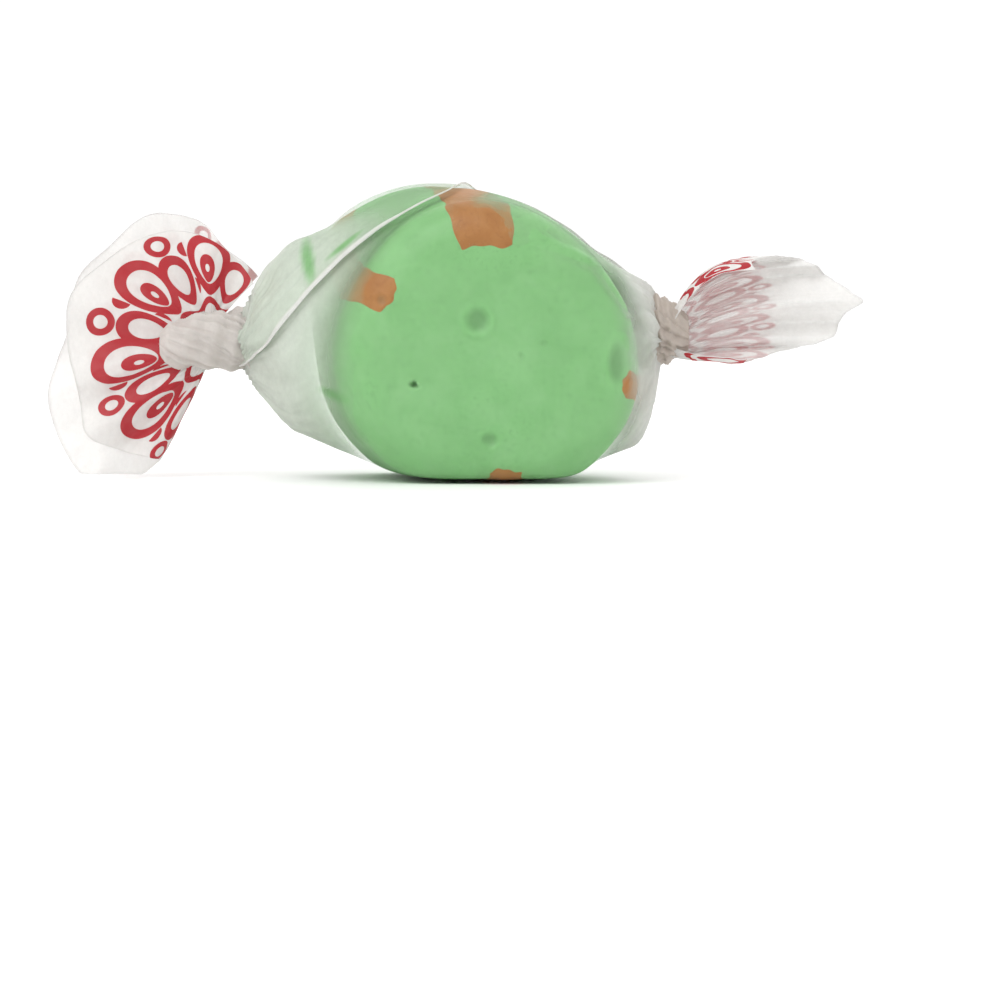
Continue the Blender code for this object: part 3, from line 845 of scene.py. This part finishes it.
def make_paper():
    outer = paper_material("wax_paper_outside", True, (0.83, 0.82, 0.80))
    inner = paper_material("wax_paper_inside", False, (0.84, 0.83, 0.815))
    # The necks' darker, warmer greys are painted shade in their crinkled, gathered paper.
    rope = paper_material("wax_paper_gathered_shaded", False, (0.72, 0.68, 0.645))
    knot = paper_material("wax_paper_knotted_shaded", False, (0.6, 0.53, 0.47))
    v = np.linspace(0, 1, COLUMNS + 1)
    candy = tree_of(0.0)
    rows, creases, hem, layered = belly_rows(tree_of(-CLEAR))
    gap = gaps(rows, candy)
    far = softened(1 - np.exp(-np.maximum(gap - 0.22, 0) / 0.5), 40)
    top = smooth((rows[..., 2] / MM - 15) / 4) * smooth((rows[..., 0] / MM + 2.5) / 3)
    top = top * smooth((rows[..., 1] / MM + 9.6) / 2.2)
    opacity = 0.05 + 0.86 * far + 0.5 * creases * np.clip(gap, 0, 1)
    opacity = np.maximum(opacity, np.maximum(0.38 * layered, 0.75 * top))
    opacity = opacity + (1 - opacity) * veiled(rows)
    opacity = np.maximum(opacity, 0.97 * hem)
    # Painted light: the candy's green seen through the paper, strongest where the sheet touches the candy,
    # fading to the right, deepest in the listed patches and left out of the white hem.
    painted_green = softened(0.12 + 0.48 * np.exp(-((gap / 1.5) ** 1.2)) + 0.06 * layered, 10)
    painted_green = painted_green * (1 - 0.8 * smooth((rows[..., 0] / MM - 9.5) / 3))
    painted_green = np.maximum(painted_green, 0.85 * painted_green_patch(rows)) * (1 - 0.95 * hem)
    flat = np.stack([np.broadcast_to(v * SHEET_WIDTH / MM, gap.shape), 0 * gap - 60], axis=-1)
    belly = sheet_object("paper_belly", rows, np.clip(opacity, CLEAREST, WHITEST), flat, painted_green)
    pieces = [belly]
    for name, end, seed in (("left", LEFT, 31), ("right", RIGHT, 41)):
        rows, fold = tail_rows(end, seed)
        out = np.linspace(0, 1, TAIL_STEPS + 1)[:, None]
        least = 0.86 if end is LEFT else 0.96
        gathered = smooth(1 - out * 2.5)
        opacity = least + (GATHERED_OPACITY - least) * gathered + 0.05 * np.clip(fold, 0, 1)
        far = out * through([rib[1] for rib in end.ribs], v) / MM * end.printed
        flat = np.stack([np.broadcast_to(v * SHEET_WIDTH / MM, far.shape), far - 1.5], axis=-1)
        opacity = np.clip(opacity, 0, GATHERED_OPACITY)
        pieces.append(sheet_object(f"paper_tail_{name}", rows, opacity, flat, 0 * opacity))
        neck = rope_object(f"paper_neck_{name}", neck_rows(end, seed + 5), GATHERED_OPACITY)
        neck.data.materials.append(rope if end is LEFT else knot)
        place(neck, "wax_paper", "wax_paper")
    for piece in pieces:
        piece.data.materials.append(outer)
        piece.data.materials.append(inner)
        place(piece, "wax_paper", "wax_paper")


# The studio


def make_stage():
    bm = bmesh.new()
    bmesh.ops.create_circle(bm, cap_ends=True, segments=96, radius=3.0)
    mesh = bpy.data.meshes.new("floor")
    bm.to_mesh(mesh)
    bm.free()
    mesh.materials.append(plain_material("pale_floor", (0.97, 0.97, 0.97), 0.6))
    floor = bpy.data.objects.new("floor", mesh)
    floor.location.z = -0.00002
    bpy.context.scene.collection.objects.link(floor)
    world = bpy.data.worlds.new("studio")
    world.use_nodes = True
    background = world.node_tree.nodes["Background"]
    background.inputs["Color"].default_value = (1.0, 1.0, 1.0, 1.0)
    background.inputs["Strength"].default_value = WORLD_STRENGTH
    bpy.context.scene.world = world
    for name, spot, size, power in LAMPS:
        data = bpy.data.lights.new(name, "AREA")
        data.size, data.energy = size, power
        light = bpy.data.objects.new(name, data)
        light.location = spot
        light.rotation_euler = (Vector((0, 0, 0.012)) - Vector(spot)).to_track_quat("-Z", "Y").to_euler()
        bpy.context.scene.collection.objects.link(light)


def make_camera():
    """The photograph's frame: 86.1 mm wide at the candy, seen from 300 mm, a little from above."""
    data = bpy.data.cameras.new("camera")
    data.sensor_width = 36.0
    data.lens = data.sensor_width * SEEN_FROM / FRAME_WIDTH
    data.clip_start, data.clip_end = 0.01, 20.0
    camera = bpy.data.objects.new("camera", data)
    aim = Vector((0.43, 0.0, -1.9)) * MM
    rise = math.radians(3.4)
    camera.location = aim + Vector((0, -math.cos(rise), math.sin(rise))) * SEEN_FROM
    camera.rotation_euler = (aim - camera.location).to_track_quat("-Z", "Y").to_euler()
    bpy.context.scene.collection.objects.link(camera)
    bpy.context.scene.camera = camera


make_camera()
make_stage()
make_candy()
make_paper()
scene = bpy.context.scene
scene.view_settings.view_transform = "Standard"
scene.cycles.transparent_max_bounces = 20
